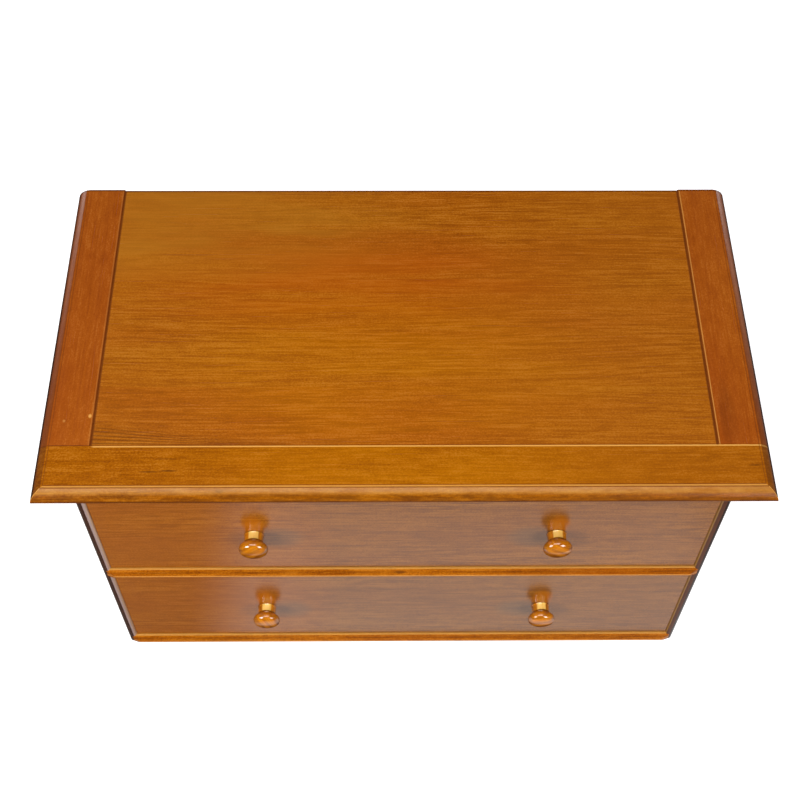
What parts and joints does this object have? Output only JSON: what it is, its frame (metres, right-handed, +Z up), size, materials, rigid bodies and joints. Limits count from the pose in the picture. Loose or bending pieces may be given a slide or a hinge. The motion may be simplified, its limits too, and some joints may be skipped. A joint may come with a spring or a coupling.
{
  "type": "chest of drawers",
  "caption": "Low wooden chest with an overhanging moulded top, flush drawers between bullnosed rails, and turned knobs.",
  "frame": {"origin": "on the floor, in the middle of the chest's footprint, which reaches from the front edge of the top to its back edge", "axes": "+X to the right seen from the front, +Y from the front to the back, +Z up; the drawers open towards -Y"},
  "size_m": [0.811, 0.4376, 0.471],
  "materials": {
    "top_board_wood": "clear golden-brown gloss lacquer over fine straight grain",
    "top_rail_wood": "clear golden-brown gloss lacquer",
    "stile_wood": "redder golden-brown gloss lacquer",
    "rail_wood": "golden-brown gloss lacquer",
    "side_wood": "golden-brown gloss lacquer",
    "drawer_front_wood": "golden-brown gloss lacquer",
    "knob_wood": "golden-brown gloss lacquer on turned wood",
    "bare_wood": "planed and unfinished",
    "plywood": "sanded and unfinished",
    "steel": "zinc plated",
    "glide_plastic": "moulded, matt"
  },
  "bodies": {
    "carcass": {"top_front_rail": "top_rail_wood", "top_stile_left": "stile_wood", "top_stile_right": "stile_wood", "top_board_1": "top_board_wood", "top_board_2": "top_board_wood", "top_board_3": "top_board_wood", "top_board_4": "top_board_wood", "top_board_5": "top_board_wood", "side_left_board_1": "side_wood", "side_left_board_2": "side_wood", "side_left_board_3": "side_wood", "side_left_board_4": "side_wood", "side_right_board_1": "side_wood", "side_right_board_2": "side_wood", "side_right_board_3": "side_wood", "side_right_board_4": "side_wood", "head_rail": "rail_wood", "middle_rail": "rail_wood", "bottom_rail": "rail_wood", "rear_head_rail": "bare_wood", "rear_middle_rail": "bare_wood", "rear_bottom_rail": "bare_wood", "back_panel": "plywood", "back_panel_pins": "steel", "runner_lower_left": "bare_wood", "runner_lower_right": "bare_wood", "runner_upper_left": "bare_wood", "runner_upper_right": "bare_wood", "cleat_left": "bare_wood", "cleat_right": "bare_wood", "drawer_stops": "bare_wood", "rail_dowels": "bare_wood", "stile_dowels": "bare_wood", "runner_screws": "steel", "top_screws": "steel", "glides": "glide_plastic"},
    "drawer_lower": {"drawer_lower_front": "drawer_front_wood", "drawer_lower_side_left": "bare_wood", "drawer_lower_side_right": "bare_wood", "drawer_lower_back": "bare_wood", "drawer_lower_bottom": "plywood", "drawer_lower_knob_left": "knob_wood", "drawer_lower_knob_right": "knob_wood", "drawer_lower_knob_screws": "steel", "drawer_lower_bottom_screws": "steel"},
    "drawer_upper": {"drawer_upper_front": "drawer_front_wood", "drawer_upper_side_left": "bare_wood", "drawer_upper_side_right": "bare_wood", "drawer_upper_back": "bare_wood", "drawer_upper_bottom": "plywood", "drawer_upper_knob_left": "knob_wood", "drawer_upper_knob_right": "knob_wood", "drawer_upper_knob_screws": "steel", "drawer_upper_bottom_screws": "steel"}
  },
  "joints": [
    {"name": "drawer_lower_slide", "type": "slide", "parent": "carcass", "child": "drawer_lower", "axis": [0, -1, 0], "range_m": [0, 0.3]},
    {"name": "drawer_upper_slide", "type": "slide", "parent": "carcass", "child": "drawer_upper", "axis": [0, -1, 0], "range_m": [0, 0.3]}
  ]
}
